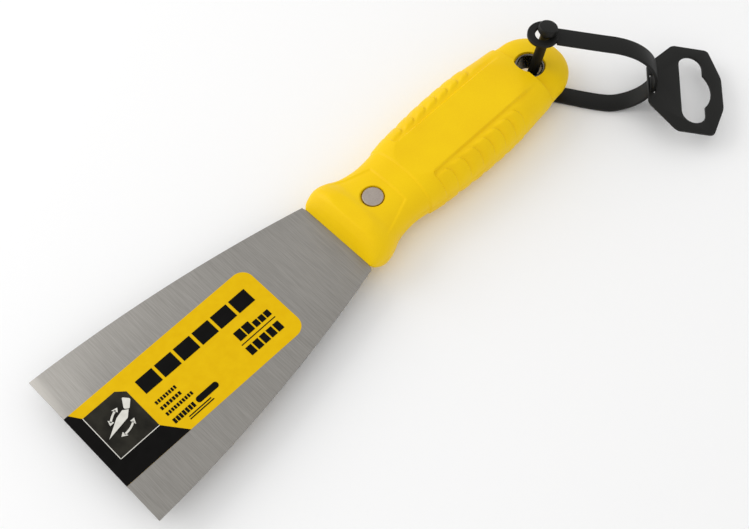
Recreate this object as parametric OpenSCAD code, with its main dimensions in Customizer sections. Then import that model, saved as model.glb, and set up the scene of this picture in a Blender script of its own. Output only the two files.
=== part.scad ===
// Putty knife with a riveted two-shell handle, a hang strap and a hang tab.
// Lengths along the tool (names ending in _x) are measured from the working edge towards the
// tail, and heights are measured from the blade's middle plane. place() then moves every piece
// into the part's frame: +X along the tool towards the tail, +Z up, and the origin on the
// surface that the knife lies on, under the middle of the handle's flat lower face.

/* [Blade] */
// Width of the straight working edge
edge_w = 64; // [50:1:76]
// Thickness of the blade and its tang
blade_t = 0.9; // [0.7:0.1:1.2]
// Radius of the two convex sides
side_r = 528; // [450:10:700]
// Angle at which each side starts to close in at the working edge
side_angle = 2.5; // [2:0.1:3]

/* [Handle] */
// Where the handle's front face starts
front_x = 106; // [104:0.5:108]
// Largest half-width of the grip
grip_half_w = 17.2; // [16:0.1:18]
// Height of the flat centre panels above and below the blade's middle plane
panel_h = 9; // [8.5:0.1:9.4]

/* [Rivet and eyelet] */
// Where the rivet stands
rivet_x = 123.1; // [122:0.1:124]
// Radius of the rivet's two flat heads
rivet_head_r = 3.75; // [3.4:0.05:3.9]
// Middle of the hang hole
hole_x = 202.5; // [202:0.1:203]
// Clear radius of the eyelet
eyelet_r = 4.5; // [4.4:0.05:4.7]

/* [Label] */
// Length of the label on the upper side of the blade
label_l = 76; // [60:1:90]
// Width of the label
label_w = 31; // [24:1:40]
// Thickness of the label film
label_t = 0.1; // [0.08:0.01:0.15]

/* [Strap] */
// Width of the strap's band
band_w = 7; // [6:0.1:7.4]
// Thickness of the strap's band
band_t = 1.1; // [1:0.05:1.2]
// Radius of the button on the strap's stem
button_r = 3.4; // [3.2:0.1:3.6]
// Outer radius of the ring that buttons over the stem
ring_r = 5.7; // [5.4:0.1:6]

/* [Tab] */
// Length of the tab, from its bar to its outer edge
tab_l = 28; // [27:0.5:30]
// Width of the tab
tab_w = 37; // [35:0.5:38]
// Thickness of the tab
tab_t = 1.2; // [1:0.1:1.2]
// How far the tab slopes down as it lies
tab_slope = 11; // [8:1:14]

/* [Hidden] */
$fn = 64;
eps = 0.01;

half_t = blade_t / 2;
rest_x = 167;                       // middle of the flat panels along the tool
yellow = "#f2c800";
steel = "#9a9892";
black = "#232320";

// Half-width of the blade at x, a shallow arc on each side
function blade_half(x) = edge_w / 2 - x * tan(side_angle) - x * x / (2 * side_r);

// Smooth curve through a table of [x, value] pairs
function slot_of(t, x, i = 0) = i >= len(t) - 2 || x < t[i + 1][0] ? i : slot_of(t, x, i + 1);
function slope_at(t, i) = i == 0 ? (t[1][1] - t[0][1]) / (t[1][0] - t[0][0])
    : i == len(t) - 1 ? (t[i][1] - t[i - 1][1]) / (t[i][0] - t[i - 1][0])
    : (t[i + 1][1] - t[i - 1][1]) / (t[i + 1][0] - t[i - 1][0]);
function hermite(a, b, ma, mb, d, s) = a * (2 * s * s * s - 3 * s * s + 1) + b * (3 * s * s - 2 * s * s * s)
    + d * (ma * (s * s * s - 2 * s * s + s) + mb * (s * s * s - s * s));
function smooth(t, x) = let (i = slot_of(t, x), d = t[i + 1][0] - t[i][0])
    hermite(t[i][1], t[i + 1][1], slope_at(t, i), slope_at(t, i + 1), d, (x - t[i][0]) / d);

// Handle outline: a wide bolster, a waist behind the rivet, the grip, and a round tail
tail_r = 14.4;
tail_x = 202.5;
plan = [[front_x, 15.6], [front_x + 1.5, 16.9], [front_x + 6, 17.8], [front_x + 10, 17.0],
        [121, 14.9], [127, 13.9], [133, 14.0], [144, 15.6], [154, 16.7], [166, grip_half_w],
        [178, 17.1], [190, 16.0], [tail_x, tail_r]];
function handle_half(x) = x < tail_x ? smooth(plan, x) : sqrt(max(0, pow(tail_r, 2) - pow(x - tail_x, 2)));
// Height of the crown: sloped front, flat land on the bolster, dip at the rivet, full grip, and a
// recess round the eyelet. What would stand above panel_h is cut flat.
step_x = 198;
tail_h = 4.6;
crown = [[front_x, 0.9], [front_x + 1, 3.6], [front_x + 2.6, 6.6], [front_x + 5, 9.2], [115, 9.3],
         [119, 8.0], [128, 7.4], [136, 8.4], [145, 9.6], [166, 10.4], [186, 9.8], [step_x - 0.6, 8.4]];
function handle_h(x) = x < step_x - 0.6 ? smooth(crown, x)
    : x < step_x + 0.6 ? 8.4 - (8.4 - tail_h) * (x - step_x + 0.6) / 1.2
    : tail_h - 1.6 * pow((x - step_x) / (tail_end - step_x), 3);
tail_end = tail_x + tail_r;
stations = concat([0, 0.5, 1, 1.8, 2.6, 3.6, 5, 7, 9, 11] + [for (i = [1:10]) front_x],
    [for (x = [120:4:196]) x], [step_x - 0.6, step_x + 0.6, 201],
    [for (a = [4:10:84]) tail_x + tail_r * sin(a)], [tail_end - 0.02]);
section_power = 2.7;
section_steps = 16;
function power(v) = pow(max(v, 0), 2 / section_power);
function section(x) = [for (i = [0:section_steps]) let (a = 180 * i / section_steps)
    [x, handle_half(x) * sign(cos(a)) * power(abs(cos(a))), handle_h(x) * power(sin(a))]];

// Locating pegs that hold the shells in line through the tang
peg_x = [150, 180];
peg_r = 2;
peg_reach = 4.5;

shoulder_x = front_x - 0.4;         // where the blade's shoulders start
shoulder_half = 14.7;               // half-width of the blade where it enters the handle
tang_half = 9.5;
tang_end_r = 8;
rivet_seat = 5.5;                   // height of the seats under the rivet heads
rivet_head_t = 1.3;
rivet_tube_r = 2.5;
rivet_shank_r = 1.9;
eyelet_wall = 0.5;
eyelet_seat = 3.4;
flange_r = 5.5;
washer_r = 6.6;
sheet_t = 0.4;                      // thickness of the eyelet's flange, crimp and washer
gap = 0.05;                         // room round pieces that pass through another

// Strap: the band's width lies along a fixed direction, and the loop reaches out square to it
band_yaw = 42;
loop_yaw = band_yaw - 90;
run_top = 18;
run_low = -8.4;
loop_mid = (run_top + run_low) / 2;
loop_rise = (run_top - run_low) / 2;
bend_u = 28.4;                      // where the bend starts, and how far it then reaches
bend_reach = 16;
ring_uv = [3.6, 2.7];
foot_uv = [0, -1.2];
drift_top = -1.1;                   // sideways place of the band where the bend starts,
drift_mid = -4.6;                   // what it is drawn towards in the bend,
drift_low = -7.0;                   // and where it ends
bend_step = 7.5;
function to_xyz(p) = [hole_x + p[0] * cos(loop_yaw) + p[1] * cos(band_yaw),
    p[0] * sin(loop_yaw) + p[1] * sin(band_yaw), p[2]];
function drift(s) = drift_top * pow(1 - s, 2) + 2 * drift_mid * s * (1 - s) + drift_low * s * s;
function bend_at(a) = [bend_u + bend_reach * cos(a), drift((90 - a) / 180), loop_mid + loop_rise * sin(a)];
run_drift = (drift_top - ring_uv[1]) / (bend_u - ring_uv[0]);
route = concat([[ring_uv[0] + 4.6, ring_uv[1] + 4.6 * run_drift, run_top, 90]],
    [for (a = [90:-bend_step:-90]) concat(bend_at(a), [a])], [[foot_uv[0], foot_uv[1], run_low, -90]]);
// Corners of the band's cross-section at one place on the route
function band_ring(p) = let (n = [cos(p[3]), 0, sin(p[3])] * band_t / 2, c = [p[0], p[1], p[2]],
    side = [0, band_w / 2, 0])
    [to_xyz(c + n - side), to_xyz(c - n - side), to_xyz(c - n + side), to_xyz(c + n + side)];
ring_at = to_xyz([ring_uv[0], ring_uv[1], run_top]);
foot_at = to_xyz([foot_uv[0], foot_uv[1], run_low]);
stem_side = 0.9;                    // how far off the ring's middle the stem leans on its rim
stem_dir = to_xyz([ring_uv[0] + stem_side, ring_uv[1], run_top]) - foot_at;
stem_lean = acos(stem_dir[2] / norm(stem_dir));
stem_turn = atan2(stem_dir[1], stem_dir[0]);
stem_r = 1.9;
stem_l = norm(stem_dir) + 0.5;
button_t = 2.7;
ring_hole_r = 2.9;
ring_t = 1.4;

// Tab: threaded on the strap just below the outermost point of its bend, where the hinge line lies
tab_at = -15;
tab_pivot = to_xyz(bend_at(tab_at));
tab_bar = 0.8;
tab_gap = 1.9;                      // width of the slot that the band passes through
tab_gap_l = 8;
pivot_a = tab_bar + tab_gap / 2;    // from the tab's inner edge to the hinge line
tab_inner_half = 8.2;
tab_outer_half = 6.6;
hang_from = 12.1;                   // hang slot: where it starts, how wide and how long it is
hang_w = 8.9;
hang_l = 29;
bump_r = 10.4;                      // the slot's bowed outer side
bump_a = 13.3;
corner_r = 1.6;
tab_outline = [[0, tab_inner_half], [10, tab_w / 2], [23.6, tab_w / 2], [tab_l, tab_outer_half]];

module place() translate([-rest_x, 0, panel_h]) children();

// Closed solid through a list of rings that all have the same number of points
module loft(rings) {
    n = len(rings[0]);
    m = len(rings);
    points = [for (r = rings) each r];
    sides = [for (j = [0:m - 2]) for (i = [0:n - 1])
        [j * n + i, (j + 1) * n + i, (j + 1) * n + (i + 1) % n, j * n + (i + 1) % n]];
    ends = [[for (i = [0:n - 1]) i], [for (i = [n - 1:-1:0]) (m - 1) * n + i]];
    polyhedron(points, concat(sides, ends), convexity = 6);
}

// Edge of the tang inside the handle and round its end, grown by g for the pocket that holds it
function tang_edge(g) = concat([[front_x + 1, 14.6 + g], [120, tang_half + g]],
    [for (a = [90:-15:-90]) [hole_x + (tang_end_r + g) * cos(a), (tang_end_r + g) * sin(a)]],
    [[120, -tang_half - g], [front_x + 1, -14.6 - g]]);

module blade() place() color(steel) difference() {
    translate([0, 0, -half_t]) linear_extrude(blade_t) polygon(concat(
        [for (x = [0:8:104]) [x, blade_half(x)]],
        [[shoulder_x, blade_half(shoulder_x)], [front_x, shoulder_half]], tang_edge(0),
        [[front_x, -shoulder_half], [shoulder_x, -blade_half(shoulder_x)]],
        [for (x = [104:-8:0]) [x, -blade_half(x)]]));
    for (h = [[rivet_x, rivet_tube_r + gap], [hole_x, eyelet_r + eyelet_wall + gap],
              [peg_x[0], peg_r + gap], [peg_x[1], peg_r + gap]])
        translate([h[0], 0, -1]) cylinder(r = h[1], h = 2);
}

module label_sheet(length, r = 4.5) linear_extrude(label_t) difference() {
    translate([0, -label_w / 2]) square([length, label_w]);
    for (s = [-1, 1]) translate([length - r, s * (label_w / 2 - r)]) difference() {
        translate([0, s > 0 ? 0 : -r - 1]) square([r + 1, r + 1]);
        circle(r);
    }
}

// One film folded round the working edge, shorter on the underside
label_y = -1.4;
label_back = 0.7;
module blade_label() place() color("#e2b400") translate([0, label_y, 0]) {
    translate([0, 0, half_t]) label_sheet(label_l);
    translate([0, 0, -half_t - label_t]) label_sheet(label_l * label_back);
    translate([-label_t, -label_w / 2, -half_t - label_t]) cube([label_t, label_w, blade_t + 2 * label_t]);
}

// Half of the handle above the blade's middle plane, with the tang's pocket and its fasteners' seats
module half_shell() difference() {
    loft([for (x = stations) section(x)]);
    translate([front_x, -20, panel_h]) cube([100, 40, 5]);
    translate([0, 0, -eps]) linear_extrude(half_t + eps)
        polygon(concat([[front_x - 3, 15]], tang_edge(0.15), [[front_x - 3, -15]]));
    translate([rivet_x, 0, -1]) cylinder(r = rivet_tube_r + gap, h = 12);
    translate([rivet_x, 0, rivet_seat]) cylinder(r = rivet_head_r + 0.4, h = 6);
    translate([hole_x, 0, -1]) cylinder(r = eyelet_r + eyelet_wall + gap, h = 12);
}

module handle_upper_shell() place() color(yellow) difference() {
    half_shell();
    translate([hole_x, 0, eyelet_seat]) cylinder(r = flange_r + 0.15, h = 6);
    for (x = peg_x) translate([x, 0, -1]) cylinder(r = peg_r + gap, h = 1 + peg_reach + 0.5);
}

module handle_lower_shell() place() color(yellow) {
    difference() {
        mirror([0, 0, 1]) half_shell();
        translate([hole_x, 0, -eyelet_seat - 6]) cylinder(r = washer_r + 0.2, h = 6);
    }
    for (x = peg_x) translate([x, 0, -half_t - 1]) cylinder(r = peg_r, h = half_t + 1 + peg_reach);
}

module rivet_post() place() color(steel) translate([rivet_x, 0, 0]) {
    translate([0, 0, rivet_seat]) cylinder(r = rivet_head_r, h = rivet_head_t);
    translate([0, 0, -rivet_seat + 1]) cylinder(r = rivet_shank_r, h = 2 * rivet_seat - 1);
}

module rivet_cap() place() color(steel) translate([rivet_x, 0, 0]) {
    translate([0, 0, -rivet_seat - rivet_head_t]) cylinder(r = rivet_head_r, h = rivet_head_t);
    difference() {
        translate([0, 0, -rivet_seat]) cylinder(r = rivet_tube_r, h = 2 * rivet_seat - 0.6);
        translate([0, 0, -rivet_seat + 0.8]) cylinder(r = rivet_shank_r + 0.03, h = 2 * rivet_seat);
    }
}

module tube(inner, outer, h) difference() {
    cylinder(r = outer, h = h);
    translate([0, 0, -1]) cylinder(r = inner, h = h + 2);
}

module eyelet_barrel() place() color(steel) translate([hole_x, 0, 0]) {
    barrel_low = -eyelet_seat - 2 * sheet_t;
    translate([0, 0, barrel_low]) tube(eyelet_r, eyelet_r + eyelet_wall, eyelet_seat + sheet_t - barrel_low);
    translate([0, 0, eyelet_seat]) tube(eyelet_r + eyelet_wall - eps, flange_r, sheet_t);
    translate([0, 0, barrel_low]) tube(eyelet_r + eyelet_wall - eps, flange_r, sheet_t);
}

module eyelet_washer() place() color(steel)
    translate([hole_x, 0, -eyelet_seat - sheet_t]) tube(eyelet_r + eyelet_wall + gap, washer_r, sheet_t);

module hang_strap() place() color(black) {
    loft([for (p = route) band_ring(p)]);
    translate(foot_at - [0, 0, band_t / 2]) cylinder(r = band_w / 2, h = band_t);
    difference() {
        translate(ring_at - [0, 0, ring_t / 2]) cylinder(r = ring_r, h = ring_t);
        translate(ring_at - [0, 0, ring_t]) cylinder(r = ring_hole_r, h = 2 * ring_t);
    }
    translate(foot_at) rotate([0, stem_lean, stem_turn]) {
        cylinder(r = stem_r, h = stem_l + 1);
        translate([0, 0, stem_l + 0.9]) cylinder(r1 = button_r - 0.6, r2 = button_r, h = 0.6);
        translate([0, 0, stem_l + 1.5]) cylinder(r = button_r, h = button_t - 1.2);
        translate([0, 0, stem_l + 0.3 + button_t]) cylinder(r1 = button_r, r2 = button_r - 0.6, h = 0.6);
    }
}

// The tab lies flat here: its length along +X from the bar, its width along Y
module tab_plate() linear_extrude(tab_t, center = true) difference() {
    offset(corner_r) offset(-corner_r)
        polygon(concat(tab_outline, [for (i = [3:-1:0]) [tab_outline[i][0], -tab_outline[i][1]]]));
    translate([tab_bar, -tab_gap_l / 2]) square([tab_gap, tab_gap_l]);
    for (s = [-1, 1]) translate([hang_from + hang_w / 2, s * (hang_l - hang_w) / 2]) circle(hang_w / 2);
    translate([hang_from, -(hang_l - hang_w) / 2]) square([hang_w, hang_l - hang_w]);
    intersection() {
        translate([bump_a, 0]) circle(bump_r);
        translate([hang_from + hang_w / 2, -tab_w / 2]) square([tab_l, tab_w]);
    }
}

module hang_tab() place() color(black)
    translate(tab_pivot) rotate([0, 0, loop_yaw]) rotate([0, tab_slope, 0])
        translate([-pivot_a, 0, 0]) tab_plate();

blade();
blade_label();
handle_upper_shell();
handle_lower_shell();
rivet_post();
rivet_cap();
eyelet_barrel();
eyelet_washer();
hang_strap();
hang_tab();
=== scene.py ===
"""Putty knife with a riveted handle, an eyelet, a hang strap and a hang tab.

The pieces are modelled in tool coordinates, in millimetres: x runs from the working edge to the
tail, y across the blade, and z is the height over the blade's middle plane. TOOL turns these into
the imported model's frame, in metres.
"""

import logging
import math
from collections.abc import Callable, Iterable, Sequence
from dataclasses import dataclass, field
from enum import Enum

import bmesh
import bpy
from mathutils import Matrix, Vector


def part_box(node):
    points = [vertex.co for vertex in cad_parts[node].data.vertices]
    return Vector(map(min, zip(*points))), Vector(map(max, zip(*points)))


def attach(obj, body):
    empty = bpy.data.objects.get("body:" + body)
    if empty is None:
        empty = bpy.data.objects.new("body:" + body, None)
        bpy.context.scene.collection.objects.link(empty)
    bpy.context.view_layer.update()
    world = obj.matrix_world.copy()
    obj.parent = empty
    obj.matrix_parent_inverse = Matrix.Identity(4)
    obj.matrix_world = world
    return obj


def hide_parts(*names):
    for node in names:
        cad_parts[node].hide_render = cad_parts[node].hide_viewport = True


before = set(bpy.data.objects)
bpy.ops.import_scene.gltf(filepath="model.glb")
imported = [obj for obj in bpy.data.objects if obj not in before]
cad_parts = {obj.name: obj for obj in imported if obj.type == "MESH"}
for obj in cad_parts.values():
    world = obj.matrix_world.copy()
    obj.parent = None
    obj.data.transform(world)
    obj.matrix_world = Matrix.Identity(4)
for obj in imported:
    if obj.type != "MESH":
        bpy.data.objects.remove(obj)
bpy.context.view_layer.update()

LOG = logging.getLogger("putty_knife")
METRES = 0.001
EDGE_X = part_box("blade")[0].x
BLADE_Z = (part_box("blade")[0].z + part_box("blade")[1].z) / 2
TOOL = Matrix.Translation((EDGE_X, 0, BLADE_Z)) @ Matrix.Diagonal((METRES, METRES, METRES, 1))

Point = tuple[float, float]
Table = tuple[Point, ...]


class Body(Enum):
    """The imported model's moving bodies."""

    KNIFE = "knife"
    STRAP = "strap"
    TAB = "tab"


# ---------------------------------------------------------------- materials


def linear(hex_colour: str) -> tuple[float, float, float, float]:
    """Turns an sRGB hex colour into linear light.

    Args:
        hex_colour: the colour as "#rrggbb".

    Returns:
        Red, green, blue and an alpha of 1.
    """
    parts = [int(hex_colour[i:i + 2], 16) / 255 for i in (1, 3, 5)]
    light = [c / 12.92 if c <= 0.04045 else ((c + 0.055) / 1.055) ** 2.4 for c in parts]
    return (light[0], light[1], light[2], 1.0)


def add_node(tree: bpy.types.NodeTree, kind: str, inputs: dict | None = None, **settings) -> bpy.types.Node:
    """Adds a shader node with its settings, values and links.

    Args:
        tree: the material's node tree.
        kind: the node's type, without the ShaderNode prefix.
        inputs: for each input's name or number, a value or the output that feeds it.
        **settings: the node's own properties.

    Returns:
        The new node.
    """
    node = tree.nodes.new("ShaderNode" + kind)
    for name, value in settings.items():
        setattr(node, name, value)
    for name, value in (inputs or {}).items():
        if isinstance(value, bpy.types.NodeSocket):
            tree.links.new(value, node.inputs[name])
        else:
            node.inputs[name].default_value = value
    return node


@dataclass(frozen=True)
class Finish:
    """A surface with a base colour, and the grain that one noise pattern gives it.

    The grain's size is in millimetres along x, y and z, so a long size makes streaks.
    """

    name: str
    dark: str
    light: str
    grain_mm: tuple[float, float, float]
    patch_mm: float = 30.0
    patch_share: float = 0.25
    metallic: float = 0.0
    ior: float = 1.5
    rough: tuple[float, float] = (0.4, 0.5)
    bump_mm: float = 0.02
    specular: float = 0.5
    detail: float = 3.0
    centre: tuple[float, float, float] = (0.0, 0.0, 0.0)

    def make(self) -> bpy.types.Material:
        """Builds the material.

        Returns:
            A material that reads Object coordinates.
        """
        material = bpy.data.materials.new(self.name)
        material.use_nodes = True
        tree = material.node_tree
        tree.nodes.clear()
        place = add_node(tree, "TexCoord").outputs["Object"]
        scale = tuple(1 / (size * METRES) for size in self.grain_mm)
        grain_at = add_node(tree, "Mapping", {"Vector": place, "Scale": scale, "Location": self.centre})
        grain = add_node(tree, "TexNoise", {"Vector": grain_at.outputs["Vector"], "Scale": 1.0,
                                            "Detail": self.detail, "Roughness": 0.55})
        patch = add_node(tree, "TexNoise", {"Vector": place, "Scale": 1 / (self.patch_mm * METRES), "Detail": 2.0})
        blend = add_node(tree, "Mix", {0: self.patch_share, 2: grain.outputs["Fac"], 3: patch.outputs["Fac"]},
                         data_type="FLOAT")
        spread = add_node(tree, "MapRange", {"Value": blend.outputs[0], "From Min": 0.3, "From Max": 0.7})
        colour = add_node(tree, "Mix", {0: spread.outputs["Result"], 6: linear(self.dark), 7: linear(self.light)},
                          data_type="RGBA")
        rough = add_node(tree, "MapRange", {"Value": spread.outputs["Result"], "To Min": self.rough[0],
                                            "To Max": self.rough[1]})
        bump = add_node(tree, "Bump", {"Height": grain.outputs["Fac"], "Strength": 1.0,
                                       "Distance": self.bump_mm * METRES})
        shader = add_node(tree, "BsdfPrincipled", {
            "Base Color": colour.outputs[2], "Metallic": self.metallic, "Roughness": rough.outputs["Result"],
            "IOR": self.ior, "Specular IOR Level": self.specular, "Normal": bump.outputs["Normal"]})
        output = add_node(tree, "OutputMaterial")
        tree.links.new(shader.outputs["BSDF"], output.inputs["Surface"])
        return material


# Carbon spring steel, surface-ground across the blade: short streaks parallel to the working edge
GROUND_STEEL = Finish("ground_spring_steel", "#8b8883", "#a29f9a", (0.22, 9.0, 4.0), metallic=1.0,
                      rough=(0.34, 0.48), bump_mm=0.004, detail=4.0, patch_share=0.2)
# Polypropylene moulded in a spark-eroded tool: an even, warm yellow with a fine satin grain
SATIN_POLYPROPYLENE = Finish("yellow_polypropylene_spark_eroded", "#f0c300", "#f8d000", (0.35, 0.35, 0.35),
                             patch_mm=18.0, patch_share=0.6, rough=(0.38, 0.48), bump_mm=0.012, specular=0.16)
# Mild steel, cold headed and barrelled: a flat satin head with the faintest dimples
HEADED_STEEL = Finish("barrelled_rivet_steel", "#a89d95", "#bab0a7", (0.5, 0.5, 0.5), patch_mm=3.0,
                      metallic=1.0, rough=(0.36, 0.5), bump_mm=0.006)
# Deep-drawn steel with zinc plating: bright on the rolled rim. Its base colour is darker than plating, as painted shade
# for the dark inside of the bore
SHADE_DARKENED_PLATED_STEEL = Finish("zinc_plated_drawn_steel", "#67645f", "#817e78", (0.6, 0.6, 3.0), patch_mm=4.0,
                      metallic=1.0, rough=(0.22, 0.34), bump_mm=0.004)
# Flexible polypropylene, moulded black in a fine-etched tool: soft grey highlights
ETCHED_BLACK = Finish("black_polypropylene_etched", "#0f0f0e", "#181815", (0.3, 0.3, 0.3), patch_mm=12.0,
                      rough=(0.42, 0.52), bump_mm=0.014, specular=0.22)
# Polyester label film with a clear coat: nearly flat, with a slight ripple from its adhesive
LABEL_YELLOW = Finish("yellow_polyester_film", "#e1b400", "#e8bd04", (3.0, 3.0, 3.0), patch_mm=14.0,
                      rough=(0.3, 0.38), bump_mm=0.004, specular=0.08)
# Black ink under the film's clear coat
LABEL_BLACK = Finish("black_printed_ink", "#050403", "#0a0908", (3.0, 3.0, 3.0), rough=(0.3, 0.38), bump_mm=0.004,
                     specular=0.08)
# Light grey ink of the small drawing and its frame
LABEL_LIGHT = Finish("light_printed_ink", "#cfcdc4", "#e6e4dc", (2.0, 2.0, 2.0), rough=(0.3, 0.38), bump_mm=0.004,
                     specular=0.08)
# Dark halftone behind the drawing, a little lighter in places
LABEL_TONE = Finish("halftone_printed_ink", "#0d0c0a", "#35332c", (6.0, 9.0, 4.0), patch_mm=9.0,
                    rough=(0.3, 0.38), bump_mm=0.004, specular=0.08)


# ---------------------------------------------------------------- mesh tools


def smooth_curve(table: Table, x: float) -> float:
    """Reads a smooth curve through a table, with the slopes of its chords.

    Args:
        table: pairs of place and value, in order.
        x: the place to read.

    Returns:
        The curve's value there.
    """
    last = len(table) - 1
    i = next((k for k in range(last) if x < table[k + 1][0]), last - 1)

    def slope(k: int) -> float:
        """Slope of the chord round one point."""
        a, b = table[max(k - 1, 0)], table[min(k + 1, last)]
        return (b[1] - a[1]) / (b[0] - a[0])

    (x0, y0), (x1, y1) = table[i], table[i + 1]
    d = x1 - x0
    s = (x - x0) / d
    rise = y0 * (2 * s**3 - 3 * s**2 + 1) + y1 * (3 * s**2 - 2 * s**3)
    return rise + d * (slope(i) * (s**3 - 2 * s**2 + s) + slope(i + 1) * (s**3 - s**2))


def ease(low: float, high: float, value: float) -> float:
    """Rises smoothly from 0 at low to 1 at high."""
    t = min(max((value - low) / (high - low), 0.0), 1.0)
    return t * t * (3 - 2 * t)


def soft_min(value: float, limit: float, width: float) -> float:
    """The smaller of two numbers, rounded where they meet."""
    h = min(max(0.5 + 0.5 * (limit - value) / width, 0.0), 1.0)
    return limit + (value - limit) * h - width * h * (1 - h)


def arc(centre: Point, radius: float, start: float, end: float, steps: int) -> list[Point]:
    """Points along an arc.

    Args:
        centre: the arc's centre.
        radius: its radius.
        start: first angle in degrees.
        end: last angle in degrees.
        steps: how many straight pieces it has.

    Returns:
        steps + 1 points.
    """
    angles = [math.radians(start + (end - start) * i / steps) for i in range(steps + 1)]
    return [(centre[0] + radius * math.cos(a), centre[1] + radius * math.sin(a)) for a in angles]


def draw_loop(bm: bmesh.types.BMesh, outline: Iterable[Point], z: float = 0.0) -> list[bmesh.types.BMEdge]:
    """Draws a closed outline at one height.

    Args:
        bm: the mesh to draw in.
        outline: its corners.
        z: its height.

    Returns:
        The outline's edges.
    """
    verts = [bm.verts.new((x, y, z)) for x, y in outline]
    return [bm.edges.new((verts[i - 1], verts[i])) for i in range(len(verts))]


def sharp_edges(bm: bmesh.types.BMesh, degrees: float = 50.0) -> list[bmesh.types.BMEdge]:
    """Edges whose two faces meet at more than an angle."""
    limit = math.radians(degrees)
    return [e for e in bm.edges if len(e.link_faces) == 2 and e.calc_face_angle(0.0) > limit]


def round_edges(bm: bmesh.types.BMesh, radius: float, segments: int = 3, degrees: float = 50.0) -> None:
    """Rounds every sharp edge of a mesh."""
    bmesh.ops.bevel(bm, geom=sharp_edges(bm, degrees), offset=radius, segments=segments, profile=0.5,
                    affect="EDGES", material=-1, clamp_overlap=True)


def prism(outline: Sequence[Point], low: float, high: float, corner: float = 0.0) -> bmesh.types.BMesh:
    """A plate of one outline, between two heights.

    Args:
        outline: corners of the outline.
        low: height of the lower face.
        high: height of the upper face.
        corner: rounding of the outline's corners, or 0.

    Returns:
        A closed mesh.
    """
    bm = bmesh.new()
    edges = draw_loop(bm, outline, low)
    bmesh.ops.contextual_create(bm, geom=edges)
    if corner:
        bmesh.ops.bevel(bm, geom=list(bm.verts), offset=corner, segments=6, profile=0.5, affect="VERTICES",
                        material=-1)
    top = bmesh.ops.extrude_face_region(bm, geom=list(bm.faces), use_keep_orig=True)["geom"]
    raised = [v for v in top if isinstance(v, bmesh.types.BMVert)]
    bmesh.ops.translate(bm, vec=(0, 0, high - low), verts=raised)
    bmesh.ops.recalc_face_normals(bm, faces=list(bm.faces))
    return bm


def lathe(profile: Sequence[Point], steps: int = 72, ring: bool = False) -> bmesh.types.BMesh:
    """Turns a profile of radius and height round the z axis.

    Args:
        profile: pairs of radius and height.
        steps: facets round the axis.
        ring: whether the profile closes on itself and stays off the axis.

    Returns:
        A closed mesh.
    """
    bm = bmesh.new()
    verts = [bm.verts.new((r, 0, z)) for r, z in profile]
    edges = [bm.edges.new(pair) for pair in zip(verts, verts[1:])]
    if ring:
        edges.append(bm.edges.new((verts[-1], verts[0])))
    bmesh.ops.spin(bm, geom=verts + edges, cent=(0, 0, 0), axis=(0, 0, 1), angle=math.tau, steps=steps,
                   use_merge=True)
    bmesh.ops.remove_doubles(bm, verts=list(bm.verts), dist=1e-5)
    bmesh.ops.recalc_face_normals(bm, faces=list(bm.faces))
    return bm


def moved(bm: bmesh.types.BMesh, matrix: Matrix) -> bmesh.types.BMesh:
    """The same mesh after a transform."""
    bmesh.ops.transform(bm, matrix=matrix, verts=list(bm.verts))
    return bm


def at(x: float, y: float = 0.0, z: float = 0.0) -> Matrix:
    """A shift to one place."""
    return Matrix.Translation((x, y, z))


def as_object(bm: bmesh.types.BMesh, name: str) -> bpy.types.Object:
    """Makes an object of a mesh, and frees the mesh."""
    mesh = bpy.data.meshes.new(name)
    bm.to_mesh(mesh)
    bm.free()
    thing = bpy.data.objects.new(name, mesh)
    bpy.context.scene.collection.objects.link(thing)
    return thing


def shape_with(thing: bpy.types.Object, tools: Sequence[bmesh.types.BMesh], how: str) -> None:
    """Cuts tools out of an object, or joins them to it.

    Args:
        thing: the object that changes.
        tools: the meshes to cut or join with.
        how: DIFFERENCE or UNION.
    """
    for i, tool in enumerate(tools):
        cutter = as_object(tool, f"{thing.name}_tool_{i}")
        step = thing.modifiers.new(how.lower(), "BOOLEAN")
        step.operation = how
        step.solver = "EXACT"
        step.object = cutter
        graph = bpy.context.evaluated_depsgraph_get()
        result = bpy.data.meshes.new_from_object(thing.evaluated_get(graph))
        thing.modifiers.clear()
        old, thing.data = thing.data, result
        bpy.data.meshes.remove(old)
        bpy.data.objects.remove(cutter)


@dataclass
class Workshop:
    """Finishes pieces: places them, shades them, dresses them and hangs them on their body."""

    finishes: dict[str, bpy.types.Material] = field(default_factory=dict)

    def material(self, finish: Finish) -> bpy.types.Material:
        """The material of a finish, made once."""
        if finish.name not in self.finishes:
            self.finishes[finish.name] = finish.make()
        return self.finishes[finish.name]

    def publish(self, thing: bpy.types.Object, finishes: Sequence[Finish], body: Body,
                nodes: Sequence[str] = (), crease: float = 32.0) -> bpy.types.Object:
        """Args:
            thing: the piece, in tool coordinates.
            finishes: its finishes, in the order of its faces' numbers.
            body: what it rides on.
            nodes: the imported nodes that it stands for.
            crease: angle in degrees over which an edge shades sharp.

        Returns:
            The piece.
        """
        bm = bmesh.new()
        bm.from_mesh(thing.data)
        bmesh.ops.transform(bm, matrix=TOOL, verts=list(bm.verts))
        bmesh.ops.remove_doubles(bm, verts=list(bm.verts), dist=2e-6)
        for face in bm.faces:
            face.smooth = True
        for edge in bm.edges:
            edge.smooth = edge.calc_face_angle(0.0) < math.radians(crease)
        bm.to_mesh(thing.data)
        bm.free()
        if thing.data.materials:
            thing.data.materials.clear()
        for finish in finishes:
            thing.data.materials.append(self.material(finish))
        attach(thing, body.value)
        if nodes:
            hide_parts(*nodes)
        LOG.info("%s: %d faces on %s", thing.name, len(thing.data.polygons), body.value)
        return thing


# ---------------------------------------------------------------- blade and label


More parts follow.
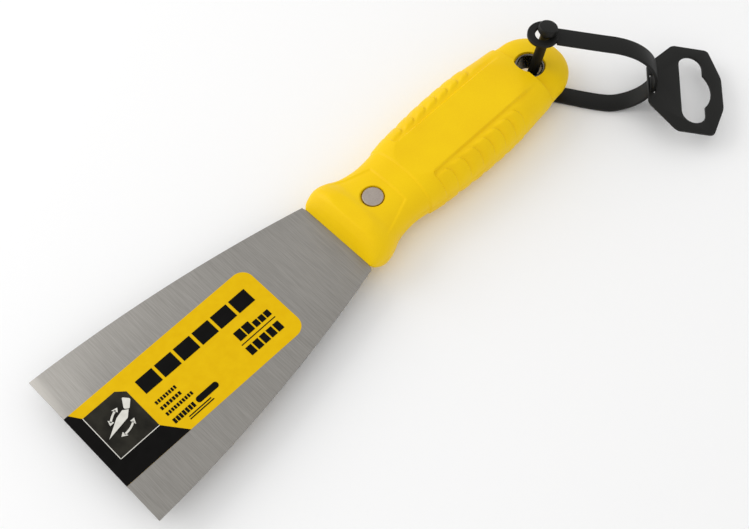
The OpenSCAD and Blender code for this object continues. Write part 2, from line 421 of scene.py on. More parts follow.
@dataclass
class Blade:
    """One steel sheet: a blade with two faintly convex sides, and the tang inside the handle."""

    edge_half: float = 32.0
    thickness: float = 0.9
    side_angle: float = 2.5
    side_radius: float = 528.0
    shoulder_x: float = 105.6
    handle_x: float = 106.0
    handle_half: float = 14.7
    tang_half: float = 9.5
    tang_end: Point = (202.5, 8.0)
    holes: tuple[Point, ...] = ((123.1, 2.55), (150.0, 2.05), (180.0, 2.05), (202.5, 5.05))
    edge_rounding: float = 0.12

    def half_width(self, x: float) -> float:
        """Half of the blade's width at x."""
        return self.edge_half - x * math.tan(math.radians(self.side_angle)) - x * x / (2 * self.side_radius)

    def outline(self, room: float = 0.0) -> list[Point]:
        """Outline of the blade and tang.

        Args:
            room: how much wider the tang is, for the pocket that holds it.

        Returns:
            The corners, counter-clockwise from the far side of the working edge.
        """
        places = [4.0 * i for i in range(int(self.shoulder_x / 4) + 1)] + [self.shoulder_x]
        side = [(x, self.half_width(x)) for x in places]
        tang = [(self.handle_x, self.handle_half + room), (120.0, self.tang_half + room)]
        upper = side + tang
        end = arc((self.tang_end[0], 0), self.tang_end[1] + room, 90, -90, 16)
        return upper + end + [(x, -y) for x, y in reversed(upper)]

    def build(self, shop: Workshop) -> None:
        """Builds the blade."""
        half = self.thickness / 2
        plate = prism(self.outline(), -half, half)
        round_edges(plate, self.edge_rounding, segments=2, degrees=80)
        thing = as_object(plate, "blade_plate")
        shape_with(thing, [moved(lathe([(0, -2), (r, -2), (r, 2), (0, 2)], 48), at(x)) for x, r in self.holes],
                   "DIFFERENCE")
        shop.publish(thing, [GROUND_STEEL], Body.KNIFE, ["blade"])


@dataclass
class Label:
    """Printed film folded round the working edge, with plain blocks for its printed matter."""

    blade: Blade
    length: float = 76.0
    back_length: float = 53.2
    width: float = 31.0
    middle: float = -1.4
    film: float = 0.1
    corner: float = 4.5
    ink: float = 0.02
    back_band: float = 20.0
    picture: tuple[Point, ...] = ((4.3, 10.0), (17.2, 10.0), (20.0, 7.4), (20.0, -8.8), (4.3, -8.8))

    def path(self) -> list[Point]:
        """Middle line of the film from its upper end round the edge to its lower end, as x and z."""
        level = (self.blade.thickness + self.film) / 2
        bend = self.film * 0.9
        turn = [(bend - self.film / 2 + p[0], p[1]) for p in arc((0, level - bend), bend, 90, 180, 4)]
        upper = self.ends(self.length) + [(x, level) for x in (70, 50, 30, 20, 10, 1)]
        lower = [(x, -level) for x in (1, 10, self.back_band, 30, 45)] + self.ends(self.back_length)[::-1]
        down = [(x, z) for x, z in turn]
        up = [(x, -z) for x, z in reversed(turn)]
        start = [(x, level) for x, _ in upper]
        return start + down + up + [(x, -level) for x, _ in lower]

    def ends(self, length: float) -> list[Point]:
        """Places near one end where the rounded corners need points."""
        return [(length - self.corner * (1 - math.cos(math.radians(b))), 0.0) for b in range(0, 91, 9)]

    def half_at(self, x: float, length: float) -> float:
        """Half-width of the film at x, narrower in its rounded far corners."""
        into = max(self.corner - (length - x), 0.0)
        return self.width / 2 - self.corner + math.sqrt(max(self.corner**2 - into**2, 0.0))

    def build_film(self, shop: Workshop) -> None:
        """Builds the film as one strip, thickened."""
        path = self.path()
        bm = bmesh.new()
        edge = draw_strip(bm, self.across(path[0], self.length))
        for i, point in enumerate(path[1:]):
            length = self.length if point[1] > 0 else self.back_length
            edge = extend_strip(bm, edge, self.across(point, length))
        bmesh.ops.recalc_face_normals(bm, faces=list(bm.faces))
        shell = bmesh.ops.solidify(bm, geom=list(bm.faces), thickness=self.film / 2)
        del shell
        for face in bm.faces:
            spot = face.calc_center_median()
            face.material_index = int(spot.x < 0.3 or (spot.z < 0 and spot.x < self.back_band))
        thing = as_object(bm, "label_film")
        shop.publish(thing, [LABEL_YELLOW, LABEL_BLACK], Body.KNIFE, ["blade_label"])

    def across(self, point: Point, length: float) -> list[tuple[float, float, float]]:
        """Two side points of the film at one place on its path."""
        half = self.half_at(point[0], length)
        return [(point[0], self.middle + half, point[1]), (point[0], self.middle - half, point[1])]

    def patch(self, outline: Sequence[Point], layer: int = 0, corner: float = 0.0) -> bmesh.types.BMesh:
        """One printed area on top of the film."""
        base = self.blade.thickness / 2 + self.film
        return prism(outline, base + layer * self.ink - self.ink, base + (layer + 1) * self.ink, corner)

    def block(self, x0: float, x1: float, y0: float, y1: float, layer: int = 0, corner: float = 0.0) -> bmesh.types.BMesh:
        """One printed rectangle."""
        return self.patch([(x0, y0), (x1, y0), (x1, y1), (x0, y1)], layer, corner)

    def row(self, x0: float, x1: float, y0: float, y1: float, pitch: float, space: float) -> list[bmesh.types.BMesh]:
        """A row of plain blocks that stands for a line of print."""
        count = max(round((x1 - x0 + space) / pitch), 1)
        step = (x1 - x0 + space) / count
        return [self.block(x0 + i * step, x0 + (i + 1) * step - space, y0, y1) for i in range(count)]

    def arrow(self, start: Point, end: Point, bow: float, half: float = 0.35) -> list[bmesh.types.BMesh]:
        """A bowed arrow with a head at both ends.

        Args:
            start: one tip.
            end: the other tip.
            bow: how far its middle stands off the straight line.
            half: half of its line's width.

        Returns:
            The arrow's shaft and heads.
        """
        a, b = Vector(start), Vector(end)
        along = (b - a).normalized()
        side = Vector((-along.y, along.x))
        length = (b - a).length
        head = 4.2 * half

        def spot(t: float, off: float) -> Point:
            """A point at t of the way and off the line."""
            p = a + along * (length * t) + side * (bow * 4 * t * (1 - t) + off)
            return (p.x, p.y)

        stops = [0.16 + 0.68 * i / 8 for i in range(9)]
        shaft = [spot(t, half) for t in stops] + [spot(t, -half) for t in reversed(stops)]
        wide = head * 0.75
        near = [spot(0, 0), spot(head / length, wide), spot(head / length, -wide)]
        far = [spot(1, 0), spot(1 - head / length, -wide), spot(1 - head / length, wide)]
        return [self.patch(o, 3) for o in (shaft, near, far)]

    def build_print(self, shop: Workshop) -> None:
        """Prints the black, the toned and the light areas."""
        right = self.middle - self.width / 2
        left = self.middle + self.width / 2
        front = [(0.0, left), (1.6, left), (4.3, 10.0), (4.3, -8.8), (20.0, -8.8), (26.0, right), (0.0, right)]
        black = [self.patch(front)]
        black += self.row(23.9, 70.6, 2.2, 8.0, 7.8, 1.1)
        black += [self.block(57.2, 60.1, -5.5, -1.7), self.block(60.6, 63.6, -5.5, -1.7)]
        black += self.row(64.2, 71.0, -5.5, -3.0, 2.3, 0.4) + [self.block(56.4, 71.1, -7.05, -6.7)]
        black += self.row(56.5, 70.6, -11.9, -8.4, 2.8, 0.6)
        for y, end in ((-2.4, 32.1), (-5.05, 31.9), (-7.7, 34.5)):
            black += self.row(23.8, end, y - 0.65, y + 0.65, 1.15, 0.35)
        black += self.row(23.9, 32.5, -12.1, -10.2, 1.3, 0.3)
        black += [self.block(33.5, 42.3, -12.2, -9.9, corner=1.0)]
        black += [self.block(28.4, 37.5, -13.5, -13.1), self.block(28.1, 38.0, -14.4, -14.0)]
        tone = [self.patch(self.picture, 1)]
        light = [self.block(4.2, 4.45, -8.9, 10.0, 2), self.block(4.2, 20.0, -8.95, -8.7, 2)]
        light += [self.patch([(5.9, -1.3), (14.6, 0.2), (16.6, 2.2), (14.9, 3.4), (12.0, 2.6)], 3)]
        light += [self.patch([(15.6, 3.4), (17.0, 2.2), (19.4, 4.7), (17.6, 6.9)], 3, 0.5)]
        light += self.arrow((8.9, 1.9), (14.4, 5.2), 0.5) + self.arrow((9.1, -3.3), (16.0, -1.2), -0.9)
        for name, patches, finish in (("label_print_black", black, LABEL_BLACK), ("label_print_tone", tone, LABEL_TONE),
                                      ("label_print_light", light, LABEL_LIGHT)):
            shop.publish(as_object(merged(patches), name), [finish], Body.KNIFE)


def draw_strip(bm: bmesh.types.BMesh, points: Sequence[tuple[float, float, float]]) -> list[bmesh.types.BMEdge]:
    """Draws an open row of edges through points."""
    verts = [bm.verts.new(p) for p in points]
    return [bm.edges.new(pair) for pair in zip(verts, verts[1:])]


def extend_strip(bm: bmesh.types.BMesh, edges: list[bmesh.types.BMEdge],
                 points: Sequence[tuple[float, float, float]]) -> list[bmesh.types.BMEdge]:
    """Extrudes a row of edges and moves its new points to their places."""
    grown = bmesh.ops.extrude_edge_only(bm, edges=edges)["geom"]
    new_edges = [g for g in grown if isinstance(g, bmesh.types.BMEdge)]
    new_edges = [e for e in new_edges if not any(v in old.verts for old in edges for v in e.verts)]
    fresh = {v for e in new_edges for v in e.verts}
    for old, place in zip(in_order(edges), points):
        twin = next(e.other_vert(old) for e in old.link_edges if e.other_vert(old) in fresh)
        twin.co = place
    return new_edges


def in_order(edges: Sequence[bmesh.types.BMEdge]) -> list[bmesh.types.BMVert]:
    """Points of an open row of edges, from the one with the greatest y."""
    return sorted({v for e in edges for v in e.verts}, key=lambda v: -v.co.y)


def merged(parts: Sequence[bmesh.types.BMesh]) -> bmesh.types.BMesh:
    """All the meshes as one, without joining their faces."""
    whole = bmesh.new()
    for part in parts:
        scratch = bpy.data.meshes.new("scratch")
        part.to_mesh(scratch)
        part.free()
        whole.from_mesh(scratch)
        bpy.data.meshes.remove(scratch)
    return whole


# ---------------------------------------------------------------- handle


@dataclass
class Handle:
    """Two moulded shells: a bolster, a waist, a grip with a panel and finger ribs, and a round tail."""

    blade: Blade
    front_x: float = 106.0
    tail_x: float = 202.5
    tail_r: float = 14.4
    panel_h: float = 9.0
    step_x: float = 198.0
    step_half: float = 0.6
    step_top: float = 8.4
    tail_h: float = 4.6
    power: float = 2.7
    plan: Table = ((106, 15.6), (107.5, 16.9), (112, 17.8), (116, 17.0), (121, 14.9), (127, 13.9), (133, 14.0),
                   (144, 15.6), (154, 16.7), (166, 17.2), (178, 17.1), (190, 16.0), (202.5, 14.4))
    crown: Table = ((106, 0.9), (107, 3.6), (108.6, 6.6), (111, 9.2), (115, 9.3), (119, 8.0), (128, 7.4),
                    (136, 8.4), (145, 9.6), (166, 10.4), (186, 9.8), (197.4, 8.4))
    border_half: float = 8.7
    rib_from: float = 143.0
    rib_to: float = 197.0
    rib_depth: float = 0.75
    rib_first: float = 149.3
    rib_count: int = 7
    facet_x: float = 130.2
    facet_half: float = 8.5
    facet_depth: float = 0.4
    waist_x: float = 137.3
    waist_rise: float = 0.4
    strip_share: float = 0.39
    strip_cells: int = 48
    side_cells: int = 38
    parting: float = 0.12
    rivet: Point = (123.1, 4.15)
    rivet_seat: float = 5.5
    pegs: tuple[float, ...] = (150.0, 180.0)
    hole_x: float = 202.5

    def half_width(self, x: float) -> float:
        """Half of the handle's width at x."""
        return smooth_curve(self.plan, x)

    def height(self, x: float) -> float:
        """Height of the crown at x, with the step down to the eyelet's recess."""
        if x < self.step_x - self.step_half:
            return smooth_curve(self.crown, x)
        drop = ease(self.step_x - self.step_half, self.step_x + self.step_half, x)
        slope = 1.6 * (max(x - self.step_x, 0.0) / (self.tail_x + self.tail_r - self.step_x)) ** 3
        return self.step_top + (self.tail_h - self.step_top) * drop - slope

    def rib_line(self, k: int, out: float) -> float:
        """Where rib k's rear edge runs, as a place along the tool.

        Args:
            k: the rib's number from the blade.
            out: distance outwards from the panel's border, along the surface.

        Returns:
            The edge's x: it curves tailwards at its inner end and a little back on the side.
        """
        start = self.rib_first + 6.1 * k - 0.09 * k * k
        turn = 3.4
        into = min(max(out - 2.2, 0.0), turn)
        return start - turn * 0.7 + 0.7 * math.sqrt(turn**2 - (turn - into) ** 2) - 0.012 * max(out - 6.0, 0.0) ** 2

    def ribs(self, x: float, y: float, out: float) -> float:
        """Relief of the ribbed side, from its sunk ground up to the ribs' tops."""
        corner = 1.6
        qx, qy = self.rib_from + corner - x, self.border_half + corner - abs(y)
        outside = math.hypot(max(qx, 0.0), max(qy, 0.0)) - corner
        sunk = (1 - ease(-0.35, 0.25, outside)) * (1 - ease(self.rib_to - 9, self.rib_to, x))
        if sunk <= 0:
            return 0.0
        lines = [self.rib_line(k, out) for k in range(self.rib_count)]
        ahead = next((k for k in range(self.rib_count) if x < lines[k]), self.rib_count)
        if ahead == self.rib_count:
            pad = 0.5 * ease(lines[-1], lines[-1] + 3, x)
        else:
            start = lines[ahead - 1] if ahead else self.rib_from - 2.0
            share = (x - start) / (lines[ahead] - start)
            pad = ease(0.0, 0.5, share) * (1 - ease(0.91, 1.0, share))
        reach = ease(1.2, 3.4, out)
        return -self.rib_depth * sunk * (1 - 0.85 * pad * reach) * (1 - ease(9.0, 15.0, out))

    def facet(self, x: float, y: float) -> float:
        """Relief of the sunk facet round the rivet."""
        rear = self.facet_x - 2.66 * max(abs(y) - self.facet_half, 0.0)
        lean = 1.0 if abs(y) < self.facet_half else 0.36
        inside = ease(-0.35, 0.35, (rear - x) * lean)
        return -self.facet_depth * inside * ease(112.0, 120.0, x)

    def waist(self, x: float, y: float) -> float:
        """Relief of the lip where the grip starts behind the waist."""
        line = self.waist_x - 1.0 * (y / 14.0) ** 2
        return self.waist_rise * ease(-0.3, 0.3, x - line) * (1 - ease(140.0, 154.0, x))

    def section(self, x: float, q: float) -> tuple[float, float]:
        """A point of the cross-section at x.

        Args:
            x: place along the tool, up to the tail's centre.
            q: from -1 at one parting edge over the crown to 1 at the other.

        Returns:
            The point's y and z.
        """
        half, high, n = self.half_width(x), self.height(x), self.power
        side = math.copysign(1.0, q)
        edge = self.border_half / half
        top = (1 - edge**n) ** (1 / n)
        if abs(q) <= self.strip_share:
            y = self.border_half * q / self.strip_share
            z = high * (1 - (abs(y) / half) ** n) ** (1 / n)
        else:
            share = (abs(q) - self.strip_share) / (1 - self.strip_share)
            angle = math.atan2(top, edge) * (1 - share)
            reach = (math.cos(angle) ** n + math.sin(angle) ** n) ** (-1 / n)
            y, z = side * half * reach * math.cos(angle), high * reach * math.sin(angle)
        lift = 0.0
        if x < self.tail_x - 4.5:
            out = self.outward(abs(y), z, high)
            lift = self.ribs(x, y, out) + self.facet(x, y) + self.waist(x, y)
        up = (max(z, 0.0) / high) ** (n - 1) / high
        outward = (abs(y) / half) ** (n - 1) / half
        size = math.hypot(up, outward)
        z = soft_min(z, self.panel_h, 0.3)
        chamfer = self.parting * ease(106.0, 109.0, x) if abs(q) == 1.0 else 0.0
        z = min(max(z + lift * up / size, 0.0), self.panel_h)
        return y + side * (lift * outward / size - chamfer), z

    def outward(self, y: float, z: float, high: float) -> float:
        """Rough distance along the surface from the panel's border down the side."""
        return max(y - self.border_half, 0.0) + max(min(high, self.panel_h) - z, 0.0) * 0.8

    def stations(self) -> list[float]:
        """Places of the cross-sections; past the tail's centre they stand for angles round it."""
        runs = ((106.0, 111.0, 22), (111.0, 197.2, 345), (197.2, 198.9, 14), (198.9, 202.5, 13), (202.5, 203.5, 36))
        places = [a + (b - a) * i / n for a, b, n in runs for i in range(n)]
        return places + [runs[-1][1]]

    def surface(self, station: float, q: float) -> tuple[float, float, float]:
        """A point of the outer surface, turned round the tail's centre past it."""
        if station <= self.tail_x:
            y, z = self.section(station, q)
            return station, y, z
        turn = (station - self.tail_x) * math.pi / 2
        y, z = self.section(self.tail_x, q)
        x = self.tail_x + abs(y) * math.sin(turn)
        return x, y * math.cos(turn), z * self.height(x) / self.height(self.tail_x)

    def half_shell(self) -> bmesh.types.BMesh:
        """The solid half above the blade's middle plane, without its seats."""
        places = self.stations()
        rows, columns = len(places) - 1, self.strip_cells + 2 * self.side_cells
        bm = bmesh.new()
        bmesh.ops.create_grid(bm, x_segments=rows, y_segments=columns, size=1.0)
        for vert in bm.verts:
            i = round((vert.co.x + 1) / 2 * rows)
            j = round((vert.co.y + 1) / 2 * columns) - columns / 2
            half_strip = self.strip_cells / 2
            if abs(j) <= half_strip:
                q = self.strip_share * j / half_strip
            else:
                q = math.copysign(self.strip_share + (1 - self.strip_share) * (abs(j) - half_strip)
                                  / self.side_cells, j)
            vert.co = self.surface(places[i], q)
        bmesh.ops.remove_doubles(bm, verts=list(bm.verts), dist=1e-3)
        front = [e for e in bm.edges if e.is_boundary and all(v.co.x < self.front_x + 1e-4 for v in e.verts)]
        dropped = bmesh.ops.extrude_edge_only(bm, edges=front)["geom"]
        for vert in [g for g in dropped if isinstance(g, bmesh.types.BMVert)]:
            vert.co.z = 0.0
        bmesh.ops.remove_doubles(bm, verts=list(bm.verts), dist=1e-3)
        bmesh.ops.contextual_create(bm, geom=[e for e in bm.edges if e.is_boundary])
        bmesh.ops.recalc_face_normals(bm, faces=list(bm.faces))
        return bm

    def cutters(self, flange_r: float) -> list[bmesh.types.BMesh]:
        """What a shell loses: the tang's pocket, and the rivet's and the eyelet's bores.

        Args:
            flange_r: radius of the seat round the eyelet's bore.

        Returns:
            The closed meshes to cut with.
        """
        x, seat_r = self.rivet
        low, high = -1.0, 12.0
        rivet = [(0, low), (2.55, low), (2.55, self.rivet_seat), (seat_r, self.rivet_seat), (seat_r, 6.75),
                 (seat_r + 0.3, 7.15), (seat_r + 0.9, 7.9), (seat_r + 0.9, high), (0, high)]
        bore = [(0, low), (5.05, low), (5.05, 3.4), (flange_r, 3.4), (flange_r, 4.1), (flange_r + 0.2, 4.45),
                (flange_r + 0.7, 5.2), (flange_r + 0.7, high), (0, high)]
        pocket = prism(self.blade.outline(0.15), low, self.blade.thickness / 2 + 0.02)
        return [pocket, moved(lathe(rivet, 64), at(x)), moved(lathe(bore, 60), at(self.hole_x))]

    def build(self, shop: Workshop) -> None:
        """Builds both shells."""
        upper = as_object(self.half_shell(), "handle_shell_upper")
        sockets = [moved(lathe([(0, -1), (2.05, -1), (2.05, 5), (0, 5)], 32), at(x)) for x in self.pegs]
        shape_with(upper, self.cutters(5.65) + sockets, "DIFFERENCE")
        shop.publish(upper, [SATIN_POLYPROPYLENE], Body.KNIFE, ["handle_upper_shell"], 40.0)
        lower = as_object(self.half_shell(), "handle_shell_lower")
        shape_with(lower, self.cutters(6.8), "DIFFERENCE")
        pegs = [moved(lathe([(0, -4.4), (1.7, -4.4), (2.0, -4.0), (2.0, 2), (0, 2)], 32), at(x)) for x in self.pegs]
        shape_with(lower, pegs, "UNION")
        flip = bmesh.new()
        flip.from_mesh(lower.data)
        bmesh.ops.scale(flip, vec=(1, 1, -1), verts=list(flip.verts))
        bmesh.ops.reverse_faces(flip, faces=list(flip.faces))
        flip.to_mesh(lower.data)
        flip.free()
        shop.publish(lower, [SATIN_POLYPROPYLENE], Body.KNIFE, ["handle_lower_shell"], 40.0)


@dataclass
class Fasteners:
    """The two-part rivet, and the eyelet with its washer."""

    rivet_x: float = 123.1
    head_r: float = 3.75
    seat: float = 5.5
    head_t: float = 1.3
    post_r: float = 1.9
    tube_r: float = 2.5
    hole_x: float = 202.5
    bore_r: float = 4.5
    wall: float = 0.5
    flange_r: float = 5.5
    washer_r: float = 6.6
    sheet: float = 0.4

    def head(self, shank: Sequence[Point]) -> list[Point]:
        """Profile of a flat head with a rounded rim, then a shank below it."""
        top = self.seat + self.head_t
        rim = arc((self.head_r - 0.4, top - 0.4), 0.4, 90, 0, 6)
        return [(0, top + 0.03), (1.6, top + 0.02)] + rim + [(self.head_r, self.seat)] + list(shank)

    def build_rivet(self, shop: Workshop) -> None:
        """Builds the post and the cap."""
        low = -self.seat + 1
        post = lathe(self.head([(self.post_r, self.seat), (self.post_r, low + 0.3), (self.post_r - 0.3, low), (0, low)]))
        shop.publish(as_object(moved(post, at(self.rivet_x)), "rivet_post_turned"), [HEADED_STEEL], Body.KNIFE,
                     ["rivet_post"], 50.0)
        open_end = 0.6 - self.seat
        inner = self.post_r + 0.03
        floor = self.seat - 0.8
        cap = lathe(self.head([(self.tube_r, self.seat), (self.tube_r, open_end), (inner, open_end), (inner, floor),
                               (0, floor)]))
        bmesh.ops.scale(cap, vec=(1, 1, -1), verts=list(cap.verts))
        bmesh.ops.reverse_faces(cap, faces=list(cap.faces))
        shop.publish(as_object(moved(cap, at(self.rivet_x)), "rivet_cap_turned"), [HEADED_STEEL], Body.KNIFE,
                     ["rivet_cap"], 50.0)

    def build_eyelet(self, shop: Workshop) -> None:
        """Builds the drawn barrel with its rolled rims, and the washer under the crimp."""
        outer = self.bore_r + self.wall
        level = 3.4
        roll = (self.flange_r - self.bore_r) / 2
        middle = self.bore_r + roll
        top = [(middle + roll * c, level + self.sheet * s) for c, s in arc((0, 0), 1, 180, 0, 12)]
        low = -level - 2 * self.sheet
        foot = [(middle + roll * c, low + self.sheet * (1 + s)) for c, s in arc((0, 0), 1, 0, -180, 12)]
        barrel = lathe(top + [(outer, level), (outer, low + self.sheet)] + foot, ring=True)
        # Barrel and washer take the plated steel whose base colour is darkened as painted shade for the bore's dark
        # inside
        shop.publish(as_object(moved(barrel, at(self.hole_x)), "eyelet_rolled"), [SHADE_DARKENED_PLATED_STEEL], Body.KNIFE,
                     ["eyelet_barrel"], 60.0)
        inner = outer + 0.05
        half = self.sheet / 2
        rim = arc((self.washer_r - half, -level - half), half, 90, -90, 6)
        washer = lathe(rim + [(inner, -level - self.sheet), (inner, -level)], ring=True)
        shop.publish(as_object(moved(washer, at(self.hole_x)), "washer_pressed"), [SHADE_DARKENED_PLATED_STEEL], Body.KNIFE,
                     ["eyelet_washer"], 50.0)


# ---------------------------------------------------------------- strap and tab


@dataclass
class Strap:
    """One black moulding: a ring, a band that bends over a wide loop, and a stem with a button."""

    hole_x: float = 202.5
    band_yaw: float = 42.0
    run_top: float = 18.0
    run_low: float = -8.4
    bend_u: float = 28.4
    bend_reach: float = 16.0
    ring_uv: Point = (3.6, 2.7)
    stem_side: float = 0.9
    foot_uv: Point = (0.0, -1.2)
    drift: tuple[float, float, float] = (-1.1, -4.6, -7.0)
    band_w: float = 7.0
    band_t: float = 1.1
    ring_r: float = 5.7
    ring_hole: float = 2.9
    ring_t: float = 1.4
    stem_r: float = 1.9
    button_r: float = 3.4
    button_t: float = 2.7
    bend_steps: int = 36
    smoothing: int = 8

    def place(self, u: float, v: float, z: float) -> Vector:
        """A point given by its reach u along the loop, v across it and its height."""
        out, across = math.radians(self.band_yaw - 90), math.radians(self.band_yaw)
        return Vector((self.hole_x + u * math.cos(out) + v * math.cos(across),
                       u * math.sin(out) + v * math.sin(across), z))

    def bend(self, degrees: float) -> Vector:
        """A point of the bend, from 90 at the upper run to -90 at the lower one."""
        s = (90 - degrees) / 180
        v = self.drift[0] * (1 - s) ** 2 + 2 * self.drift[1] * s * (1 - s) + self.drift[2] * s * s
        middle, rise = (self.run_top + self.run_low) / 2, (self.run_top - self.run_low) / 2
        a = math.radians(degrees)
        return self.place(self.bend_u + self.bend_reach * math.cos(a), v, middle + rise * math.sin(a))

    def frames(self) -> list[Matrix]:
        """A frame at each cross-section of the band, with x across it and y out of it."""
        ring_u, ring_v = self.ring_uv
        drawn = ring_v + 4.6 * (self.drift[0] - ring_v) / (self.bend_u - ring_u)
        turns = [90 - 180 * i / self.bend_steps for i in range(self.bend_steps + 1)]
        upper = [self.place(ring_u + 4.6, drawn, self.run_top).lerp(self.bend(90), i / 10) for i in range(10)]
        lower = [self.bend(-90).lerp(self.place(*self.foot_uv, self.run_low), (i + 1) / 14) for i in range(14)]
        spots = upper + [self.bend(a) for a in turns] + lower
        across = (self.place(0, 1, 0) - self.place(0, 0, 0)).normalized()
        for _ in range(self.smoothing):
            shifts = [((a + c) / 2 - b).dot(across) / 2 for a, b, c in zip(spots, spots[1:], spots[2:])]
            spots[1:-1] = [b + across * shift for b, shift in zip(spots[1:], shifts)]
        angles = [90.0] * len(upper) + turns + [-90.0] * len(lower)
        result = []
        for spot, degrees in zip(spots, angles):
            a = math.radians(degrees)
            out = (self.place(math.cos(a), 0, math.sin(a)) - self.place(0, 0, 0)).normalized()
            axes = Matrix((across, out, across.cross(out))).transposed().to_4x4()
            result.append(Matrix.Translation(spot) @ axes)
        return result

    def band(self) -> bmesh.types.BMesh:
        """The band, swept through its frames, with rounded edges."""
        half_w, half_t = self.band_w / 2, self.band_t / 2
        frames = self.frames()
        bm = bmesh.new()
        edges = draw_loop(bm, [(-half_w, -half_t), (half_w, -half_t), (half_w, half_t), (-half_w, half_t)])
        bmesh.ops.transform(bm, matrix=frames[0], verts=list(bm.verts))
        bmesh.ops.contextual_create(bm, geom=edges)
        for here, there in zip(frames, frames[1:]):
            grown = bmesh.ops.extrude_edge_only(bm, edges=edges)["geom"]
            fresh = [g for g in grown if isinstance(g, bmesh.types.BMVert)]
            edges = [g for g in grown if isinstance(g, bmesh.types.BMEdge) and all(v in fresh for v in g.verts)]
            bmesh.ops.transform(bm, matrix=there @ here.inverted(), verts=fresh)
        bmesh.ops.contextual_create(bm, geom=edges)
        bmesh.ops.recalc_face_normals(bm, faces=list(bm.faces))
        round_edges(bm, 0.28)
        return bm

    def build(self, shop: Workshop) -> None:
        """Builds the strap."""
        ring_at = self.place(*self.ring_uv, self.run_top)
        foot_at = self.place(*self.foot_uv, self.run_low)
        stem = self.place(self.ring_uv[0] + self.stem_side, self.ring_uv[1], self.run_top) - foot_at
        length = stem.length + 0.5
        turn = stem.to_track_quat("Z", "Y").to_matrix().to_4x4()
        half, soft = self.ring_t / 2, 0.3
        ring = [(self.ring_hole + soft, -half), (self.ring_r - soft, -half), (self.ring_r, -half + soft),
                (self.ring_r, half - soft), (self.ring_r - soft, half), (self.ring_hole + soft, half),
                (self.ring_hole, half - soft), (self.ring_hole, -half + soft)]
        base = length + 0.9
        crown = base + self.button_t
        button = [(self.button_r - 0.5, base)] + arc((self.button_r - 0.3, base + 0.5), 0.3, -60, 0, 3)
        button += arc((self.button_r - 0.55, crown - 0.55), 0.55, 0, 90, 5) + [(0, crown + 0.05)]
        post = [(0, 0), (self.stem_r, 0), (self.stem_r, length - 1.2)]
        post += [(self.stem_r + 0.5, length + 0.4), (self.stem_r + 0.5, base)] + button
        foot_r, thick = self.band_w / 2, self.band_t / 2
        foot = [(0, -thick), (foot_r - 0.28, -thick), (foot_r, -thick + 0.28), (foot_r, thick - 0.28),
                (foot_r - 0.28, thick), (self.stem_r + 0.9, thick), (self.stem_r, thick + 1.0), (0, thick + 1.0)]
        thing = as_object(self.band(), "strap_moulding")
        parts = [moved(lathe(ring, 64, ring=True), Matrix.Translation(ring_at)),
                 moved(lathe(foot, 48), Matrix.Translation(foot_at)),
                 moved(lathe(post, 48), Matrix.Translation(foot_at) @ turn)]
        shape_with(thing, parts, "UNION")
        shop.publish(thing, [ETCHED_BLACK], Body.STRAP, ["hang_strap"], 45.0)


@dataclass
class Tab:
    """Flat plate threaded on the strap, with a slot for a shop's hook."""

    strap: Strap
    length: float = 28.0
    half_width: float = 18.5
    thickness: float = 1.2
    slope: float = 11.0
    bar: float = 0.8
    band_slot: Point = (1.9, 8.0)
    bend_place: float = -15.0
    slot_from: float = 12.1
    slot_w: float = 8.9
    slot_l: float = 29.0
    bump: Point = (13.3, 10.4)
    corner: float = 1.3

    def outline(self) -> list[Point]:
        """Corners of the plate, from its bar outwards."""
        side = [(0.0, 8.2), (10.0, self.half_width), (23.6, self.half_width), (self.length, 6.6)]
        return side + [(a, -b) for a, b in reversed(side)]

    def hang_slot(self) -> list[Point]:
        """Outline of the hook's slot: round ends, and an outer side that bows out in its middle."""
        radius = self.slot_w / 2
        middle, end = self.slot_from + radius, (self.slot_l - self.slot_w) / 2
        outer = self.slot_from + self.slot_w
        centre, reach = self.bump
        half = math.degrees(math.acos((outer - centre) / reach))
        bow = arc((centre, 0), reach, -half, half, 14)
        return arc((middle, end), radius, 0, 180, 14) + arc((middle, -end), radius, 180, 360, 14) + bow

    def build(self, shop: Workshop) -> None:
        """Builds the tab."""
        half = self.thickness / 2
        plate = prism(self.outline(), -half, half, self.corner)
        thing = as_object(plate, "tab_moulding")
        gap, reach = self.band_slot[0], self.band_slot[1] / 2
        narrow = [(self.bar, -reach), (self.bar + gap, -reach), (self.bar + gap, reach), (self.bar, reach)]
        shape_with(thing, [prism(self.hang_slot(), -2, 2), prism(narrow, -2, 2, 0.4)], "DIFFERENCE")
        bm = bmesh.new()
        bm.from_mesh(thing.data)
        bmesh.ops.remove_doubles(bm, verts=list(bm.verts), dist=1e-3)
        round_edges(bm, 0.22, degrees=70)
        pivot = self.strap.bend(self.bend_place)
        lean = Matrix.Rotation(math.radians(self.strap.band_yaw - 90), 4, "Z")
        lean = lean @ Matrix.Rotation(math.radians(self.slope), 4, "Y")
        moved(bm, Matrix.Translation(pivot) @ lean @ at(-self.bar - gap / 2))
        bm.to_mesh(thing.data)
        bm.free()
        shop.publish(thing, [ETCHED_BLACK], Body.TAB, ["hang_tab"], 45.0)


# ---------------------------------------------------------------- studio


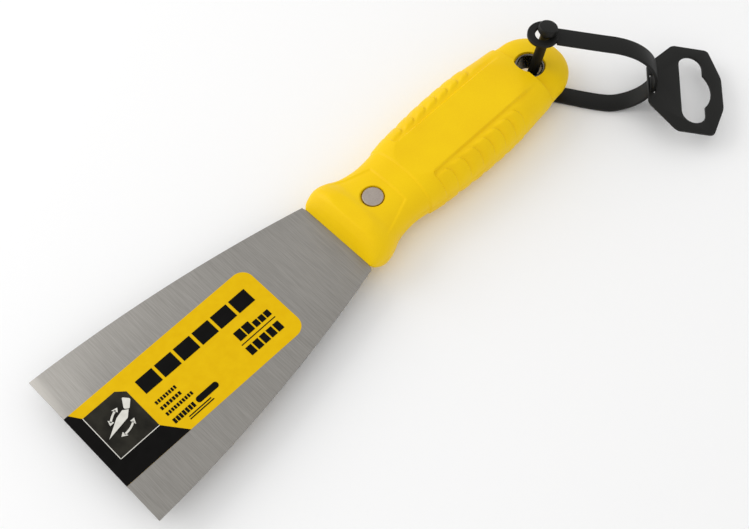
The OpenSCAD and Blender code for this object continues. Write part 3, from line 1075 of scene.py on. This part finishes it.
@dataclass
class Studio:
    """Pale floor, soft light and the camera."""

    eye: tuple[float, float, float] = (-0.19868, -0.16515, 0.38547)
    right: tuple[float, float, float] = (0.7069, -0.7070, -0.0183)
    up: tuple[float, float, float] = (0.6280, 0.6156, 0.4758)
    lens_mm: float = 61.815
    sensor_mm: float = 36.0

    def build_camera(self) -> None:
        """Sets up the camera."""
        lens = bpy.data.cameras.new("camera")
        lens.lens = self.lens_mm
        lens.sensor_width = self.sensor_mm
        lens.sensor_fit = "HORIZONTAL"
        lens.clip_start = 0.01
        camera = bpy.data.objects.new("camera", lens)
        right = Vector(self.right).normalized()
        back = right.cross(Vector(self.up)).normalized()
        axes = Matrix((right, back.cross(right), back)).transposed().to_4x4()
        camera.matrix_world = Matrix.Translation(self.eye) @ axes
        bpy.context.scene.collection.objects.link(camera)
        bpy.context.scene.camera = camera

    def build_floor(self) -> None:
        """Lays a pale matt floor."""
        bm = bmesh.new()
        bmesh.ops.create_grid(bm, x_segments=1, y_segments=1, size=3.0)
        bmesh.ops.translate(bm, vec=(0, 0, -0.0003), verts=list(bm.verts))
        floor = as_object(bm, "floor")
        paper = bpy.data.materials.new("white_paper_sweep")
        paper.use_nodes = True
        shader = paper.node_tree.nodes["Principled BSDF"]
        shader.inputs["Base Color"].default_value = linear("#fbfbfb")
        shader.inputs["Roughness"].default_value = 0.9
        floor.data.materials.append(paper)

    def add_softbox(self, name: str, spot: tuple[float, float, float], watts: float, size: float) -> None:
        """Adds a square soft light aimed at the knife."""
        light = bpy.data.lights.new(name, "AREA")
        light.energy = watts
        light.size = size
        box = bpy.data.objects.new(name, light)
        box.location = spot
        box.rotation_euler = (-Vector(spot)).to_track_quat("-Z", "Y").to_euler()
        bpy.context.scene.collection.objects.link(box)

    def build(self) -> None:
        """Builds floor, sky and lights."""
        self.build_floor()
        world = bpy.data.worlds.new("studio")
        world.use_nodes = True
        sky = world.node_tree.nodes["Background"]
        sky.inputs["Color"].default_value = linear("#ffffff")
        sky.inputs["Strength"].default_value = 0.84
        bpy.context.scene.world = world
        self.add_softbox("key_light", (-0.45, 0.8, 0.5), 4.0, 0.8)
        bpy.context.scene.view_settings.view_transform = "Standard"


def main() -> None:
    """Builds the knife and its studio."""
    logging.basicConfig(level=logging.INFO, format="%(name)s: %(message)s")
    studio = Studio()
    studio.build_camera()
    shop = Workshop()
    blade = Blade()
    blade.build(shop)
    label = Label(blade)
    label.build_film(shop)
    label.build_print(shop)
    Handle(blade).build(shop)
    fasteners = Fasteners()
    fasteners.build_rivet(shop)
    fasteners.build_eyelet(shop)
    strap = Strap()
    strap.build(shop)
    Tab(strap).build(shop)
    studio.build()


if __name__ == "__main__":
    main()
